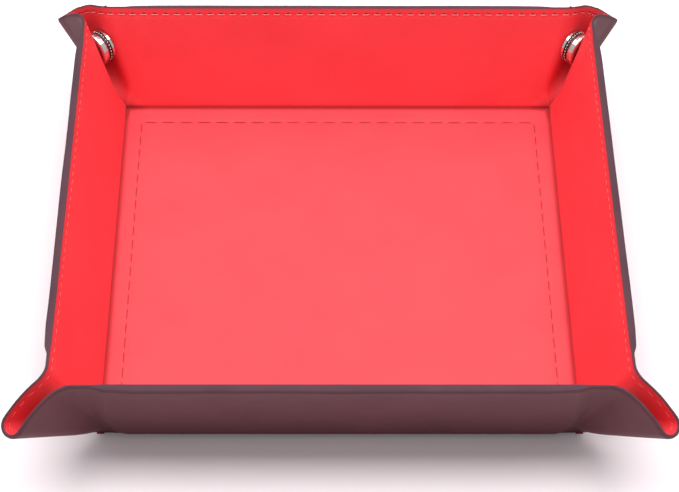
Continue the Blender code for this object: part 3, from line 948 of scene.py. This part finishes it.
def ball(centre, radius):
    rings, sides = 5, 8
    points, faces = [], []
    for i in range(1, rings):
        t = math.pi * i / rings
        for j in range(sides):
            s = 2 * math.pi * j / sides
            way = np.array([math.sin(t) * math.cos(s), math.sin(t) * math.sin(s), math.cos(t)])
            points.append(centre + radius * way)
    top, bottom = len(points), len(points) + 1
    points += [centre + np.array([0, 0, radius]), centre - np.array([0, 0, radius])]
    for i in range(rings - 2):
        for j in range(sides):
            k = (j + 1) % sides
            faces.append((i * sides + j, (i + 1) * sides + j, (i + 1) * sides + k, i * sides + k))
    for j in range(sides):
        k = (j + 1) % sides
        faces.append((top, j, k))
        faces.append((bottom, (rings - 2) * sides + k, (rings - 2) * sides + j))
    return np.array(points), faces


def dress(node, material):
    """Gives a carried-over CAD node its material."""
    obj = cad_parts[node]
    obj.data.materials.clear()
    obj.data.materials.append(material)


def ride(obj, body):
    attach(obj, body)


# Assembly.

def paint(obj, material):
    obj.data.materials.append(material)
    return obj


def sheet_paint(obj, outside):
    return paint(obj, COVER) if outside else paint(obj, LINING)


def build_floor():
    pieces = [sheet_paint(floor_skin(outside), outside) for outside in (False, True)]
    for piece, node in zip(pieces, ("base_lining", "base_cover")):
        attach(piece, "base")
        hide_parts(node)
    stitches = merged("floor_stitching", floor_stitches(), FLOOR_THREAD)
    ride(stitches, "base")
    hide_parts("base_stitching")
    dress("base_board", CARD)


def build_wall(name):
    dress(name + "_board", CARD)
    for outside in (False, True):
        piece = sheet_paint(wall_skin(name, outside), outside)
        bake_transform(piece)
        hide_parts(f"{name}_{sheet_kind(outside)}")
    for sign in (-1, 1):
        build_wall_end(name, sign)


def build_wall_end(name, sign):
    """One end of a wall: the strips that bend into the ear, the painted edge and the stitches."""
    outward = WALLS[name]
    along = UP.cross(outward) * sign
    corner = next(c for c, (sx, sy) in CORNERS.items()
                  if Vector((sx, sy, 0)).dot(outward) > 0 and Vector((sx, sy, 0)).dot(along) > 0)
    ear = corner + ("_side_ear" if abs(outward.x) > 0.5 else "_end_ear")
    for outside in (False, True):
        piece = sheet_paint(bend_skin(name, sign, outside), outside)
        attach(piece, name)
        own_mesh(piece)
        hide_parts(f"{name}_{sheet_kind(outside)}")
    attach(paint(wall_edge(name, sign, False), EDGE), name)
    band = paint(wall_edge(name, sign, True), EDGE)
    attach(band, name)
    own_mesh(band)
    threads, hole_shadows = edge_stitches(name, sign)
    if abs(outward.y) > 0.5:
        # The front and back walls also carry a painted needle-hole shadow beside each stitch.
        sets = (("stitching", threads, THREAD), ("stitch_holes", hole_shadows, HOLE_SHADOW))
    else:
        sets = (("stitching", threads, SIDE_THREAD),)
    for kind, groups, material in sets:
        for zone, parts in groups.items():
            body = name if zone in ("wall", "bend") else ear
            thread = merged(f"{body}_{kind}_{zone}_{hand_word(sign)}", parts, material)
            ride(thread, body)
            if zone == "wall":
                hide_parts(name + "_stitching")
            if zone == "bend":
                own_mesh(thread)
            if zone == "fold":
                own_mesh(thread)


def build_ear(corner):
    for side in (True, False):
        body = ear_name(corner, side)
        for outside in (False, True):
            piece = sheet_paint(ear_skin(corner, side, outside), outside)
            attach(piece, body)
            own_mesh(piece)
            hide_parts(f"{body}_{sheet_kind(outside)}")
        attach(paint(ear_band(corner, side, False), EDGE), body)
        band = paint(ear_band(corner, side, True), EDGE)
        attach(band, body)
        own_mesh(band)
    fold_web(corner)
    crease_webs(corner)
    crease_tongues(corner)
    corner_patch(corner)


build_floor()
for wall_name in WALLS:
    build_wall(wall_name)
for corner_name in CORNERS:
    build_ear(corner_name)
build_snaps()


# Studio.

LENS = 129.605302                # millimetres, on a sensor 36 mm wide


def make_camera():
    """The photo's own viewpoint: in front of the tray, looking down at about 45 degrees."""
    elevation, yaw, roll = math.radians(45.054), math.radians(-0.658), math.radians(0.502)
    target, distance = Vector((0.000204, 0.005658, FACE)), 0.82278
    level = math.cos(elevation)
    back = Vector((math.sin(yaw) * level, -math.cos(yaw) * level, math.sin(elevation)))
    right = (-back).cross(UP).normalized()
    up = right.cross(-back)
    right, up = (right * math.cos(roll) + up * math.sin(roll), up * math.cos(roll) - right * math.sin(roll))
    data = bpy.data.cameras.new("camera")
    data.sensor_width = 36.0
    data.lens = LENS
    data.clip_start, data.clip_end = 0.01, 20
    camera = bpy.data.objects.new("camera", data)
    bpy.context.scene.collection.objects.link(camera)
    place = Matrix((right, up, back)).transposed().to_4x4()
    place.translation = target + back * distance
    camera.matrix_world = place
    bpy.context.scene.camera = camera


def area_light(name, place, target, size, power):
    data = bpy.data.lights.new(name, "AREA")
    data.shape = "RECTANGLE"
    data.size, data.size_y = size
    data.energy = power
    lamp = bpy.data.objects.new(name, data)
    bpy.context.scene.collection.objects.link(lamp)
    lamp.location = place
    lamp.rotation_mode = "QUATERNION"
    lamp.rotation_quaternion = (Vector(place) - Vector(target)).to_track_quat("Z", "Y")


def make_studio():
    """A pale paper floor under soft light, mostly from overhead."""
    mesh = bpy.data.meshes.new("studio_floor")
    size = 6.0
    corners = [(-size, -size, 0), (size, -size, 0), (size, size, 0), (-size, size, 0)]
    mesh.from_pydata(corners, [], [(0, 1, 2, 3)])
    floor = bpy.data.objects.new("studio_floor", mesh)
    floor.location.z = -0.00005
    bpy.context.scene.collection.objects.link(floor)
    material, _, shader = new_material("studio_paper")
    shader.inputs["Base Color"].default_value = (0.98, 0.89, 0.92, 1)
    shader.inputs["Roughness"].default_value = 0.9
    shader.inputs["Specular IOR Level"].default_value = 0.1
    mesh.materials.append(material)
    world = bpy.data.worlds.new("studio")
    world.use_nodes = True
    sky = world.node_tree.nodes["Background"]
    sky.inputs["Color"].default_value = (1.0, 1.0, 1.0, 1)
    sky.inputs["Strength"].default_value = 0.54
    bpy.context.scene.world = world
    area_light("top_softbox", (0.0, 0.10, 1.25), (0, 0, 0), (1.7, 0.85), 21.5)
    area_light("back_strip", (0.0, 1.05, 1.05), (0, 0, 0), (1.6, 0.35), 2.2)
    area_light("front_fill", (-0.2, -1.4, 0.9), (0, 0, 0.02), (1.0, 0.8), 1.0)
    bpy.context.scene.view_settings.view_transform = "Standard"


make_camera()
make_studio()
